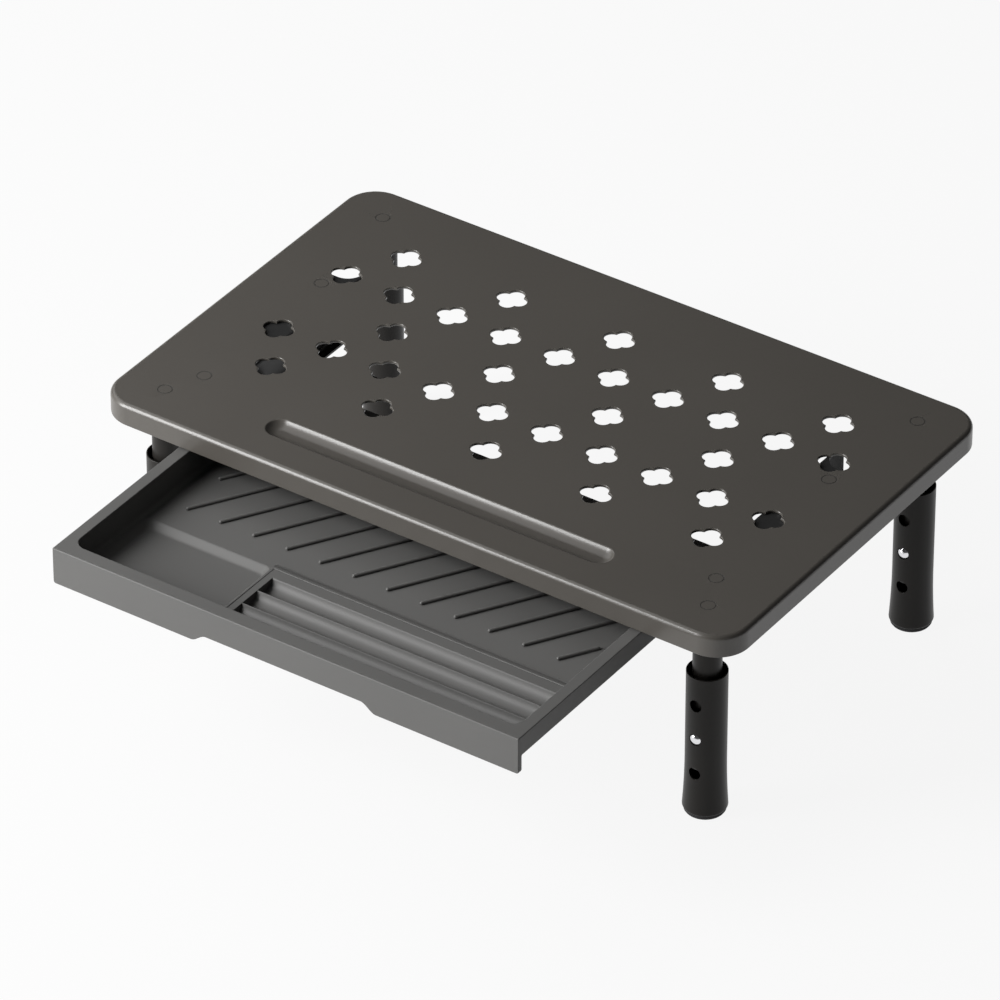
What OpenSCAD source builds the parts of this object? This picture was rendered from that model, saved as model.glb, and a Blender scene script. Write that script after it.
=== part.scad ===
// Laptop stand with a drawer: a pressed steel plate on four telescopic legs,
// and a moulded drawer that slides in two bent steel rails under the plate.
// Millimetres. The table is z = 0, x runs to the right and y to the back.

/* [Stand] */
// Height of the plate's top above the table, legs in their middle holes
stand_h = 120; // [118:1:130]
// How far the drawer is pulled out
drawer_open = 102; // [30:1:110]

/* [Top plate] */
// Width of the plate
plate_w = 370; // [366:1:400]
// Depth of the plate
plate_d = 230; // [226:1:250]
// Thickness of the sheet steel
sheet_t = 1.5; // [1:0.1:2]
// Height of the turned-down skirt
skirt_h = 12; // [10:0.5:13]
// Radius of the plate's corners, seen from above
corner_r = 18; // [12:1:20]
// Radius where the top turns down into the skirt
edge_r = 2.5; // [2.2:0.1:4]

/* [Vent holes] */
// Radius of the four lobes of a hole
lobe_r = 4.3; // [3.8:0.1:4.6]
// Distance of a lobe's centre from the hole's centre
lobe_offset = 4; // [3:0.1:4.1]
// Distance from the plate's side to the outermost holes
vent_side = 40.6; // [38:0.1:50]
// Distance from the plate's back edge to the last row
vent_back = 46; // [40:0.5:50]
// Distance from the middle of the pen groove to the first row
vent_front = 40.8; // [38:0.1:46]

/* [Pen groove] */
// Overall length of the pressed groove
groove_len = 201.5; // [160:0.5:230]
// Width of the groove
groove_w = 14.5; // [12:0.5:16]
// Depth of the groove below the plate's top
groove_depth = 3; // [2.4:0.1:4]
// Radius between the groove's floor and its walls
groove_floor_r = 4.75; // [3.5:0.25:5]
// Steepness of the groove's walls, in degrees
groove_wall = 55; // [50:1:58]
// Distance from the plate's front edge to the groove's middle
groove_inset = 27.2; // [24:0.1:32]

/* [Legs] */
// Distance from the plate's side to a leg's axis
leg_inset_x = 25.8; // [25:0.1:27]
// Distance from the plate's front or back to a leg's axis
leg_inset_y = 22.35; // [20:0.05:23]
// Outer diameter of the fixed inner tube
tube_d = 14.4; // [14:0.1:15]
// Wall of the inner tube
tube_wall = 1; // [0.8:0.1:1.2]
// Outer diameter of the sliding sleeve
sleeve_d = 20.4; // [20:0.1:21]
// Wall of the sleeve
sleeve_wall = 0.8; // [0.7:0.05:1]
// Length of the sleeve
sleeve_len = 80.3; // [78:0.1:82]
// How much wider the sleeve's radius is at its foot
flare = 1.1; // [0.8:0.1:1.4]
// Height over which the sleeve widens
flare_h = 30; // [20:1:32]
// Radius of the sleeve's curled lower edge
curl_r = 1.2; // [1.1:0.1:1.5]
// Distance between the three height holes
hole_pitch = 20; // [18:0.5:20]
// Diameter of the height holes
hole_d = 6.5; // [6.3:0.1:7]
// Height of the middle hole above the table
lock_h = 46.5; // [46:0.5:48]
// Thickness of the rubber foot below the sleeve
foot_h = 2.2; // [1.6:0.1:2.4]

/* [Snap clips] */
// Diameter of the button
button_d = 6; // [5:0.1:6]
// How far the button's dome stands out of the sleeve
button_out = 0.6; // [0.3:0.1:1]
// Height of the button's dome
dome_h = 1.3; // [0.8:0.1:2]
// Thickness of the spring strip
clip_t = 0.7; // [0.5:0.1:0.9]
// Width of the spring strip
clip_w = 7; // [6.2:0.1:7.4]
// Height of the bend above the button
clip_rise = 20; // [16:1:26]
// Length of the strip below the button
clip_tail = 6; // [4:0.5:7]
// Outer radius of the bend
clip_bend_r = 2.2; // [1.6:0.1:2.5]

/* [Leg guides] */
// Height of the cap that closes the tube's lower end
cap_h = 9.5; // [8:0.5:11]
// Thickness of the cap's floor
cap_floor = 1.5; // [1:0.1:2]
// Distance from the button's axis down to the tube's lower end
tube_tail = 16.5; // [15:0.5:17]
// Height of the upper guide ring
ring_h = 8; // [6:0.5:9]
// Distance from the button's axis up to the ring
ring_rise = 5.5; // [4.5:0.5:6]
// Height of the threaded insert in the tube's top
insert_h = 12; // [11:0.5:16]

/* [Weld studs] */
// Diameter of the stud
stud_d = 5; // [4:0.5:5]
// Length of the stud
stud_len = 10; // [9:0.5:10]
// Diameter of the stud's welded base
stud_base_d = 7.2; // [6.5:0.1:7.5]
// Thickness of the welded base
stud_base_h = 0.8; // [0.5:0.1:1]
// Width of the flange nut across its flats
nut_w = 8; // [7.5:0.5:9]
// Height of the flange nut
nut_h = 4.7; // [4:0.1:5]
// Diameter of the nut's flange
nut_flange_d = 11.8; // [11:0.1:12.5]
// Thickness of the nut's flange
nut_flange_h = 1.2; // [1:0.1:1.5]

/* [Rails] */
// Thickness of the rail sheet
rail_t = 1.2; // [1:0.1:1.5]
// Length of the rail
rail_len = 171.2; // [165:0.1:176]
// Width of the mounting flange beyond the web
flange_w = 22; // [20:0.5:22.5]
// Distance from the rail's rear end to the flange's rear end
flange_inset = 21.7; // [18:0.1:24]
// Radius of the flange's outer corners
flange_r = 6; // [3:0.5:8]
// Radius of the fillets where the flange meets the web
flange_fillet = 9; // [5:0.5:10]
// Distance from the flange's ends to its studs
stud_inset = 11; // [9:0.5:16]
// Distance from the web to the studs
rail_stud_x = 12.3; // [10:0.1:13]
// Outer radius of the bends
bend_r = 2.4; // [2:0.1:3]
// Length of the hold-down tab, along the rail
tab_len = 12; // [8:0.5:14]
// Reach of the hold-down tab over the drawer's rim
tab_reach = 6.5; // [4:0.1:7]
// Length of the sloped nose at the rail's front end
nose_len = 13; // [8:0.5:16]

/* [Drawer] */
// Distance from the plate's side to the drawer's side
drawer_inset = 49.5; // [49:0.5:52]
// Length of the drawer, front face to rear edge
drawer_len = 181; // [176:1:184]
// Height of the front panel
panel_h = 20.5; // [20:0.1:22]
// Thickness of the front panel
panel_t = 3; // [2.5:0.1:3.5]
// Width of the rim at the sides
rim_side = 6.4; // [6:0.1:7]
// Width of the rim at the front
rim_front = 8.3; // [7.5:0.1:9]
// Width of the rim at the back
rim_back = 6.4; // [5:0.1:8]
// Thickness of the moulded walls and floors
wall_t = 1.8; // [1.5:0.1:2]
// Height of the hanging side lips
lip_h = 11; // [9:0.5:12]
// Radius of the opening's corners
opening_r = 6.5; // [4:0.5:8]
// Distance from the drawer's rear edge to the front of the stop bumps
bump_inset = 11.8; // [10:0.1:14]
// Further travel beyond the open place, to the stops
overtravel = 18; // [10:1:18]

/* [Drawer inside] */
// Depth of the rear floor below the rim
floor_depth = 14.7; // [14:0.1:15]
// Depth of the basin in the front left corner
basin_depth = 17.7; // [16.5:0.1:18]
// Depth of the ledges and crests round the pen grooves
ledge_depth = 13.2; // [12:0.1:13.5]
// Width of each pen groove
pen_w = 12; // [11:0.1:12.4]
// Depth of each pen groove below the ledge
pen_depth = 4.6; // [3.5:0.1:4.6]
// Width left between the pen grooves
crest_w = 0.4; // [0.3:0.1:1]
// Width of the ledge behind the pen grooves
ledge_w = 8.3; // [6:0.1:10]
// Distance from the front face to the ledge's back edge
ledge_back = 62.9; // [60:0.1:66]
// Place of the divider's right side, left of the middle
divider_x = 45; // [30:1:60]
// Width of the divider's top
divider_w = 5.5; // [4:0.1:8]
// Distance from the drawer's right wall to the first rib
rib_lead = 24.8; // [20:0.1:34]
// Distance between the ribs of the rear floor, along x
rib_pitch = 19.77; // [18:0.1:24]
// Slant of the ribs from the drawer's length, in degrees
rib_slant = 31.5; // [25:0.5:36]
// Width of a rib
rib_w = 1.8; // [1.2:0.1:2.4]

/* [Finger notch] */
// Width of the notch's level top
notch_w = 90; // [60:1:110]
// Height of the notch
notch_h = 4.6; // [3:0.1:5]
// Length of each curved end
notch_run = 9; // [5:0.5:14]

/* [Hidden] */
$fn = 64;

// Clearances
fit_gap = 0.05;
slide_gap = 0.1;
run_gap = 0.3;
rim_gap = 0.8;
side_gap = 1.3;
tab_gap = 0.5;
stop_gap = 0.2;
flange_gap = 2.2;
overrun = 1;

// Rows of holes: row number, outermost hole, step between holes
vent_rows = [[2, 8, 4], [1, 9, 2], [0, 6, 4], [-1, 9, 2], [-2, 8, 4]];
vent_columns = 9;

// Places shared by the sub-parts, with the plate's centre at the origin in x and y
plate_y = drawer_open / 2;
under_z = stand_h - sheet_t;
skirt_z = stand_h - skirt_h;
rim_z = skirt_z - rim_gap;
leg_x = plate_w / 2 - leg_inset_x;
leg_y = plate_d / 2 - leg_inset_y;
LEGS = [["fl", -1, -1], ["fr", 1, -1], ["bl", -1, 1], ["br", 1, 1]];

// Plate
front_y = -plate_d / 2;
groove_skin = sheet_t / sin(groove_wall) - sheet_t / (2 * tan(groove_wall));
vent_pitch_x = (plate_w / 2 - vent_side) / vent_columns;
vent_first = front_y + groove_inset + vent_front;
vent_last = plate_d / 2 - vent_back;
vent_pitch_y = (vent_last - vent_first) / 4;
vent_mid = (vent_first + vent_last) / 2;

// Legs
tube_r = tube_d / 2;
tube_ir = tube_r - tube_wall;
sleeve_r = sleeve_d / 2;
sleeve_ir = sleeve_r - sleeve_wall;
guide_r = sleeve_ir - slide_gap;
tube_low_z = lock_h - tube_tail;
button_r = button_d / 2;
button_hole_r = button_r + slide_gap * 2;
stud_r = stud_d / 2;
stud_base_r = stud_base_d / 2;
flare_steps = 10;
curl_steps = 6;

// Rails
drawer_w = plate_w - 2 * drawer_inset;
web_in = drawer_w / 2 + side_gap;
web_out = web_in + rail_t;
bend_in = bend_r - rail_t;
rail_front = front_y + panel_t + run_gap;
rail_back = rail_front + rail_len;
flange_back = rail_back - flange_inset;
flange_front = tube_r + flange_gap - leg_y;
flange_len = flange_back - flange_front;
lip_top_z = rim_z - lip_h - run_gap;
lip_in = drawer_w / 2 - rim_side + wall_t + side_gap / 2;
bump_front = drawer_len - bump_inset;
tab_back = front_y + bump_front - drawer_open - overtravel - stop_gap;
tab_front = tab_back - tab_len;
tab_z = rim_z + tab_gap;
web_low = lip_top_z - rail_t + bend_r;
web_high = under_z - bend_r;
window_h = tab_reach;
nose_z = skirt_z - 2.5;
stud_mid = (flange_front + flange_back) / 2;

// Drawer, with its origin in the middle of the front face at the rim's top
half_w = drawer_w / 2;
open_x = half_w - rim_side;
open_back = drawer_len - rim_back;
wall_slope_share = 0.08;
floor_r = 3;
arc_steps = 6;
pen_r = (pow(pen_w / 2, 2) + pow(pen_depth, 2)) / (2 * pen_depth);
pen_step = pen_w + crest_w;
pen_count = 3;
pen_end = open_x - 3;
basin_slope = 4;
step_run = 2.4;
basin_corner = 4;
ledge_run = 3;
rib_r = rib_w / 2;
rib_front = ledge_back + 16.4;
rib_back = drawer_len - rim_back - 10;
rib_side = 14.1;
bump_len = 4;
bump_w = 3;
bump_h = 1.3;
notch_steps = 12;
panel_r = 1.5;

// Plain shapes

module rounded_rect(w, d, r) {
    square([w - 2 * r, d], center = true);
    square([w, d - 2 * r], center = true);
    for (sx = [-1, 1], sy = [-1, 1])
        translate([sx * (w / 2 - r), sy * (d / 2 - r)]) circle(r = r);
}

// Block with rounded corners seen from above, r, and a rounded top edge, er
module pillow(w, d, h, r, er) {
    linear_extrude(h - er) rounded_rect(w, d, r);
    linear_extrude(h) rounded_rect(w - 2 * er, d - 2 * er, r - er);
    for (s = [-1, 1]) {
        translate([s * (w / 2 - er), 0, h - er]) rotate([90, 0, 0])
            cylinder(r = er, h = d - 2 * r, center = true);
        translate([0, s * (d / 2 - er), h - er]) rotate([0, 90, 0])
            cylinder(r = er, h = w - 2 * r, center = true);
    }
    for (sx = [-1, 1], sy = [-1, 1])
        translate([sx * (w / 2 - r), sy * (d / 2 - r), h - er])
            rotate_extrude() translate([r - er, 0]) circle(r = er);
}

// Right half of a groove's cross-section, from its middle: flat floor, rounded foot, sloped wall
module trough_half(half, depth, r) {
    foot_z = r * (1 - cos(groove_wall)) - depth;
    foot_x = half + foot_z / tan(groove_wall);
    floor_x = foot_x - r * sin(groove_wall);
    intersection() {
        union() {
            polygon([[0, 0], [0, -depth], [floor_x, -depth], [foot_x, foot_z], [half, 0]]);
            translate([floor_x, r - depth]) circle(r = r);
        }
        translate([0, -depth]) square([half, depth]);
    }
}

// Groove along x with round ends, its top at z = 0
module trough(len, half, depth, r) {
    straight = len - 2 * half;
    translate([-straight / 2, 0, 0]) rotate([90, 0, 90]) linear_extrude(straight) {
        trough_half(half, depth, r);
        mirror([1, 0]) trough_half(half, depth, r);
    }
    for (s = [-1, 1]) translate([s * straight / 2, 0, 0]) rotate_extrude()
        trough_half(half, depth, r);
}

// Top plate

module vent() {
    for (a = [0:90:270]) rotate([0, 0, a]) translate([lobe_offset, 0]) circle(r = lobe_r);
}

module top_plate() color([0.27, 0.26, 0.24]) difference() {
    union() {
        difference() {
            translate([0, 0, skirt_z]) pillow(plate_w, plate_d, skirt_h, corner_r, edge_r);
            translate([0, 0, skirt_z - overrun])
                pillow(plate_w - 2 * sheet_t, plate_d - 2 * sheet_t, skirt_h - sheet_t + overrun,
                    corner_r - sheet_t, edge_r - sheet_t);
        }
        translate([0, front_y + groove_inset, under_z + sheet_t / 2])
            trough(groove_len + 2 * groove_skin, groove_w / 2 + groove_skin,
                groove_depth + sheet_t / 2, groove_floor_r + sheet_t);
    }
    translate([0, front_y + groove_inset, stand_h])
        trough(groove_len, groove_w / 2, groove_depth, groove_floor_r);
    translate([0, front_y + groove_inset, stand_h])
        linear_extrude(overrun) rounded_rect(groove_len, groove_w, groove_w / 2 - fit_gap);
    for (row = vent_rows, i = [-row[1]:row[2]:row[1]])
        translate([i * vent_pitch_x, vent_mid + row[0] * vent_pitch_y, under_z - overrun])
            linear_extrude(sheet_t + 2 * overrun) vent();
}

// Studs welded under the plate, with a flat base that leaves a faint ring on the top

module stud() {
    translate([0, 0, -stud_base_h]) cylinder(r = stud_base_r, h = stud_base_h);
    translate([0, 0, -stud_len]) cylinder(r = stud_r, h = stud_len);
}

module each_rail_stud() {
    for (s = [-1, 1], t = [-1, 1])
        translate([s * (web_out + rail_stud_x), stud_mid + t * (flange_len / 2 - stud_inset), under_z])
            children();
}

module weld_studs() color([0.72, 0.72, 0.7]) {
    each_rail_stud() stud();
    for (leg = LEGS) translate([leg[1] * leg_x, leg[2] * leg_y, under_z]) stud();
}

module rail_nuts() color([0.72, 0.72, 0.7]) each_rail_stud() translate([0, 0, -rail_t]) difference() {
    union() {
        translate([0, 0, -nut_h]) cylinder(d = nut_w / cos(30), h = nut_h, $fn = 6);
        translate([0, 0, -nut_flange_h]) cylinder(d = nut_flange_d, h = nut_flange_h);
    }
    translate([0, 0, -nut_h - overrun]) cylinder(r = stud_r + fit_gap, h = nut_h + 2 * overrun);
}

// Rails: the right one, with its mirror image on the left

module bend() {
    difference() {
        intersection() {
            circle(r = bend_r);
            square(bend_r);
        }
        circle(r = bend_in);
    }
}

// Cross-section of the bent sheet: lower lip, web and mounting flange
module rail_section() {
    translate([lip_in, lip_top_z - rail_t]) square([web_out - bend_r - lip_in, rail_t]);
    translate([web_out - bend_r, web_low]) mirror([0, 1]) bend();
    translate([web_in, web_low]) square([rail_t, web_high - web_low]);
    translate([web_in + bend_r, web_high]) mirror([1, 0]) bend();
    translate([web_in + bend_r, under_z - rail_t]) square([flange_w - bend_in, rail_t]);
}

// Outline of the mounting flange and its bend, seen from above
module flange_outline() {
    inner = web_in + bend_r;
    outer = web_out + flange_w;
    root_len = flange_len + 2 * flange_fillet;
    difference() {
        union() {
            translate([inner, flange_front]) square([outer - inner - flange_r, flange_len]);
            translate([inner, flange_front + flange_r])
                square([outer - inner, flange_len - 2 * flange_r]);
            for (y = [flange_front + flange_r, flange_back - flange_r])
                translate([outer - flange_r, y]) circle(r = flange_r);
            translate([inner - bend_r - overrun, flange_front - flange_fillet])
                square([bend_r + flange_fillet + overrun, root_len]);
        }
        for (y = [flange_front - flange_fillet, flange_back + flange_fillet])
            translate([inner + flange_fillet, y]) circle(r = flange_fillet);
    }
}

// What is cut off below the sloped nose, seen from the side
module nose_cut() {
    low = lip_top_z - rail_t;
    slope = (nose_z - low) / nose_len;
    translate([lip_in - overrun, 0, 0]) rotate([90, 0, 90]) linear_extrude(web_out - lip_in + 2 * overrun)
        polygon([[rail_front - overrun, low - overrun], [rail_front - overrun, nose_z + slope * overrun],
            [rail_front + nose_len + overrun / slope, low - overrun]]);
}

module rail() {
    difference() {
        translate([0, rail_back, 0]) rotate([90, 0, 0]) linear_extrude(rail_len) rail_section();
        nose_cut();
        translate([0, 0, web_high]) linear_extrude(bend_r + overrun) difference() {
            translate([web_in - overrun, rail_front - overrun])
                square([rail_t + flange_w + 2 * overrun, rail_len + 2 * overrun]);
            flange_outline();
        }
        translate([web_in - overrun, tab_front, tab_z + rail_t])
            cube([rail_t + 2 * overrun, tab_len, window_h]);
        each_rail_stud() translate([0, 0, -rail_t - overrun])
            cylinder(r = stud_base_r + slide_gap, h = rail_t + 2 * overrun);
    }
    translate([web_out - tab_reach - rail_t, tab_front, tab_z])
        cube([tab_reach + rail_t, tab_len, rail_t]);
}

module rail_right() color([0.2, 0.2, 0.2]) rail();
module rail_left() color([0.2, 0.2, 0.2]) mirror([1, 0, 0]) rail();

// Legs: each module draws one leg's piece round the leg's own axis

module leg_insert() color([0.5, 0.5, 0.5]) translate([0, 0, under_z - insert_h]) difference() {
    cylinder(r = tube_ir - fit_gap, h = insert_h);
    translate([0, 0, -overrun]) cylinder(r = stud_r + fit_gap, h = insert_h + 2 * overrun);
    translate([0, 0, insert_h - stud_base_h - fit_gap])
        cylinder(r = stud_base_r + fit_gap, h = stud_base_h + overrun);
}

module leg_tube() color([0.3, 0.29, 0.27]) difference() {
    translate([0, 0, tube_low_z]) cylinder(r = tube_r, h = under_z - tube_low_z);
    translate([0, 0, tube_low_z - overrun])
        cylinder(r = tube_ir, h = under_z - tube_low_z + 2 * overrun);
    translate([0, 0, lock_h]) rotate([90, 0, 0]) cylinder(r = button_hole_r, h = tube_d);
}

// Plastic cap over the tube's lower end, which runs in the sleeve
module tube_cap() color([0.08, 0.08, 0.08]) translate([0, 0, tube_low_z - cap_floor]) {
    spigot_h = cap_h / 2;
    difference() {
        cylinder(r = guide_r, h = cap_h);
        translate([0, 0, cap_floor]) cylinder(r = tube_r + fit_gap, h = cap_h);
        translate([0, 0, -overrun]) cylinder(r = tube_ir / 2, h = cap_floor + 2 * overrun);
    }
    difference() {
        cylinder(r = tube_ir - fit_gap, h = spigot_h);
        translate([0, 0, -overrun])
            cylinder(r = tube_ir - tube_wall, h = spigot_h + 2 * overrun);
    }
}

// Plastic ring round the tube, above the button
module guide_ring() color([0.08, 0.08, 0.08]) translate([0, 0, lock_h + ring_rise]) difference() {
    cylinder(r = guide_r, h = ring_h);
    translate([0, 0, -overrun]) cylinder(r = tube_r + fit_gap, h = ring_h + 2 * overrun);
}

// V-shaped spring strip inside the tube, with the button that locks the sleeve
module snap_clip() color([0.8, 0.8, 0.82]) {
    reach = sqrt(pow(tube_ir - slide_gap, 2) - pow(clip_w / 2, 2));
    bend_z = lock_h + clip_rise;
    tail_z = lock_h - clip_tail;
    turn_y = 2 * clip_bend_r - reach;
    tip_y = sleeve_r + button_out;
    dome_r = (pow(button_r, 2) + pow(dome_h, 2)) / (2 * dome_h);
    translate([-clip_w / 2, 0, 0]) rotate([90, 0, 90]) linear_extrude(clip_w) {
        translate([-reach, tail_z]) square([clip_t, bend_z - tail_z]);
        translate([clip_bend_r - reach, bend_z]) difference() {
            circle(r = clip_bend_r);
            circle(r = clip_bend_r - clip_t);
            translate([-clip_bend_r, -2 * clip_bend_r]) square(2 * clip_bend_r);
        }
        polygon([[turn_y - clip_t, bend_z], [turn_y, bend_z], [reach, tail_z], [reach - clip_t, tail_z]]);
    }
    translate([0, clip_t / 2 - reach, lock_h]) rotate([90, 0, 0])
        cylinder(r = button_r, h = tip_y - dome_h - reach + clip_t / 2);
    translate([0, -tip_y, lock_h]) rotate([90, 0, 0]) rotate_extrude() intersection() {
        translate([0, -dome_r]) circle(r = dome_r);
        translate([0, -dome_h]) square([button_r, dome_h]);
    }
}

// Radius added to the sleeve at height h above its lower edge
function flare_at(h) = h < flare_h ? flare * pow(1 - h / flare_h, 2) : 0;

// One side of the sleeve's wall, from the curled edge up; inset moves it inwards
function sleeve_side(inset) = concat(
    [for (i = [0:curl_steps])
        let (a = -90 + i * 90 / curl_steps, r = curl_r - inset)
            [sleeve_r + flare_at(curl_r) - curl_r + r * cos(a), curl_r + r * sin(a)]],
    [for (i = [1:flare_steps])
        let (h = curl_r + i * (flare_h - curl_r) / flare_steps)
            [sleeve_r + flare_at(h) - inset, h]],
    [[sleeve_r - inset, sleeve_len]]
);

function reversed(list) = [for (i = [len(list) - 1:-1:0]) list[i]];

module leg_sleeve() color([0.3, 0.29, 0.27]) difference() {
    translate([0, 0, foot_h]) rotate_extrude()
        polygon(concat(sleeve_side(0), reversed(sleeve_side(sleeve_wall))));
    for (i = [-1:1]) translate([0, 0, lock_h + i * hole_pitch]) rotate([90, 0, 0])
        cylinder(d = hole_d, h = sleeve_d);
}

// Rubber foot with a ribbed plug in the sleeve's lower end
module foot() color([0.05, 0.05, 0.05]) {
    mouth_r = sleeve_r + flare_at(curl_r) - curl_r;
    base_r = mouth_r + curl_r / 3;
    edge = foot_h / 3;
    plug_h = 1.8 * foot_h;
    translate([0, 0, edge]) cylinder(r = base_r, h = foot_h - edge);
    cylinder(r1 = base_r - edge, r2 = base_r, h = edge);
    cylinder(r = mouth_r - slide_gap, h = foot_h + plug_h / 2);
    translate([0, 0, foot_h + plug_h / 2])
        cylinder(r1 = mouth_r - slide_gap, r2 = mouth_r - plug_h / 2, h = plug_h / 2);
}

// Drawer

// Points down one wall and round into the floor, mirrored for the low side with s = -1
function wall_side(x, depth, r, s) =
    let (c = x - s * (wall_slope_share * (depth - r) + r * sqrt(1 + pow(wall_slope_share, 2))))
        [for (i = [0:arc_steps])
            let (a = -atan(wall_slope_share) * (1 - i / arc_steps) - 90 * i / arc_steps)
                [c + s * r * cos(a), r - depth + r * sin(a)]];

// Cross-section of a drafted pan from lo to hi, its top at zero
module pan_section(lo, hi, depth, r) {
    low = wall_side(lo, depth, r, -1);
    high = wall_side(hi, depth, r, 1);
    polygon(concat([[lo, 0]], low, reversed(high), [[hi, 0]]));
}

// Drafted pan that follows the drawer's opening, grown by g
module pan(depth, r, g) {
    intersection() {
        translate([0, open_back + g, 0]) rotate([90, 0, 0]) linear_extrude(open_back - rim_front + 2 * g)
            pan_section(-open_x - g, open_x + g, depth, r);
        translate([-open_x - g, 0, 0]) rotate([90, 0, 90]) linear_extrude(2 * (open_x + g))
            pan_section(rim_front - g, open_back + g, depth, r);
        translate([0, (rim_front + open_back) / 2, -depth]) linear_extrude(depth)
            rounded_rect(2 * (open_x + g), open_back - rim_front + 2 * g, opening_r + g);
    }
}

// Basin in the front left corner, sunk into the floor, grown by g
module basin(g) {
    low = -basin_depth - g;
    high = -floor_depth / 2;
    left = -open_x + floor_r + fit_gap;
    right = basin_corner - divider_x;
    front = rim_front + floor_r + fit_gap;
    intersection() {
        translate([0, drawer_len, 0]) rotate([90, 0, 0]) linear_extrude(drawer_len)
            polygon([[left - g, high], [left - g, -floor_depth], [left - g + basin_slope, low],
                [-divider_x, low], [-divider_x, high]]);
        translate([-drawer_w, 0, 0]) rotate([90, 0, 90]) linear_extrude(drawer_w)
            polygon([[front - g, high], [front - g, -floor_depth], [front - g + basin_slope, low],
                [ledge_back + g - step_run, low], [ledge_back + g, -floor_depth],
                [ledge_back + g, high]]);
        translate([0, 0, low - overrun]) linear_extrude(basin_depth + 2 * g + overrun)
            translate([(left - g + right) / 2, (front + ledge_back) / 2])
                rounded_rect(right - left + g, ledge_back - front + 2 * g, basin_corner + g);
    }
}

// Pen grooves side by side, grown by g
module pen_grooves(g) {
    for (i = [0:pen_count - 1])
        translate([-divider_x - g, ledge_back - ledge_w - pen_w / 2 - i * pen_step,
            pen_r - ledge_depth - pen_depth])
            rotate([0, 90, 0]) cylinder(r = pen_r + g, h = divider_x + pen_end + 2 * g);
}

// Raised block that carries the ledge, the divider and the pen grooves
module pen_block() {
    low = -2 * basin_depth;
    side = -divider_x - divider_w;
    foot = basin_depth - ledge_depth;
    intersection() {
        translate([0, ledge_back + ledge_run + foot, 0]) rotate([90, 0, 0])
            linear_extrude(ledge_back + ledge_run + foot)
                polygon([[side - foot / 3, low], [side - foot / 3, -basin_depth], [side, -ledge_depth],
                    [half_w, -ledge_depth], [half_w, low]]);
        translate([-half_w, 0, 0]) rotate([90, 0, 90]) linear_extrude(drawer_w)
            polygon([[0, low], [0, -ledge_depth], [ledge_back, -ledge_depth],
                [ledge_back + ledge_run, -floor_depth], [ledge_back + ledge_run, low]]);
    }
}

// Half-round rib lying along y, with round ends
module rib(len) {
    rotate([-90, 0, 0]) rotate_extrude() intersection() {
        union() {
            square([rib_r, len]);
            circle(r = rib_r);
            translate([0, len]) circle(r = rib_r);
        }
        translate([0, -rib_r]) square([rib_r, len + 2 * rib_r]);
    }
}

// Slanted ribs of the rear floor, cut off at the same margin on both sides
module ribs() {
    run = tan(rib_slant);
    side = open_x - rib_side;
    first = open_x - rib_lead;
    last = first - 2 * side - run * (rib_back - rib_front);
    for (x = [first:-rib_pitch:last]) {
        lo = rib_front + max(0, (-side - x) / run);
        hi = min(rib_back, rib_front + (side - x) / run);
        translate([x + (lo - rib_front) * run, lo, -floor_depth]) rotate([0, 0, -rib_slant])
            rib((hi - lo) / cos(rib_slant));
    }
}

// Finger notch in the panel's lower edge, with S-shaped ends
function notch_side(s) = [for (i = [0:notch_steps])
    let (t = i / notch_steps)
        [s * (notch_w / 2 + notch_run * (1 - t)), notch_h * (1 - cos(180 * t)) / 2]];

module panel() {
    translate([0, panel_t, -panel_h]) rotate([90, 0, 0]) linear_extrude(panel_t) difference() {
        union() {
            translate([panel_r - half_w, 0]) square([drawer_w - 2 * panel_r, panel_h]);
            translate([-half_w, panel_r]) square([drawer_w, panel_h - panel_r]);
            for (s = [-1, 1]) translate([s * (half_w - panel_r), panel_r]) circle(r = panel_r);
        }
        polygon(concat([[-notch_w / 2 - notch_run, -overrun]], notch_side(-1), reversed(notch_side(1)),
            [[notch_w / 2 + notch_run, -overrun]]));
    }
}

module rim() {
    translate([-half_w, 0, -wall_t]) cube([drawer_w, drawer_len - opening_r, wall_t]);
    translate([0, drawer_len / 2, -wall_t]) linear_extrude(wall_t)
        rounded_rect(drawer_w, drawer_len, opening_r);
    for (x = [-half_w, half_w - wall_t])
        translate([x, 0, -lip_h]) cube([wall_t, drawer_len - opening_r, lip_h]);
    for (x = [-half_w + wall_t, half_w - wall_t - bump_w])
        translate([x, bump_front, 0]) cube([bump_w, bump_len, bump_h]);
}

module drawer_body() {
    difference() {
        union() {
            rim();
            panel();
            pan(floor_depth + wall_t, floor_r + wall_t, wall_t);
            basin(wall_t);
            intersection() {
                pen_grooves(wall_t);
                translate([-half_w, 0, -2 * basin_depth])
                    cube([drawer_w, ledge_back, 2 * basin_depth - ledge_depth]);
            }
        }
        difference() {
            union() {
                pan(floor_depth, floor_r, 0);
                basin(0);
            }
            pen_block();
            ribs();
        }
        translate([0, (rim_front + open_back) / 2, -fit_gap]) linear_extrude(overrun)
            rounded_rect(2 * open_x, open_back - rim_front, opening_r);
        pen_grooves(0);
    }
}

module drawer_tray() color([0.42, 0.42, 0.4])
    translate([0, front_y - drawer_open, rim_z]) drawer_body();

// The whole stand, with the drawer's front and the plate's back at equal distances from y = 0

translate([0, plate_y, 0]) {
    top_plate();
    weld_studs();
    rail_left();
    rail_right();
    rail_nuts();
    drawer_tray();
    for (leg = LEGS) translate([leg[1] * leg_x, leg[2] * leg_y, 0]) {
        leg_insert();
        leg_tube();
        tube_cap();
        guide_ring();
        snap_clip();
        leg_sleeve();
        foot();
    }
}
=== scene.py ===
import math

import bmesh
import bpy
from mathutils import Matrix, Vector


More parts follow.
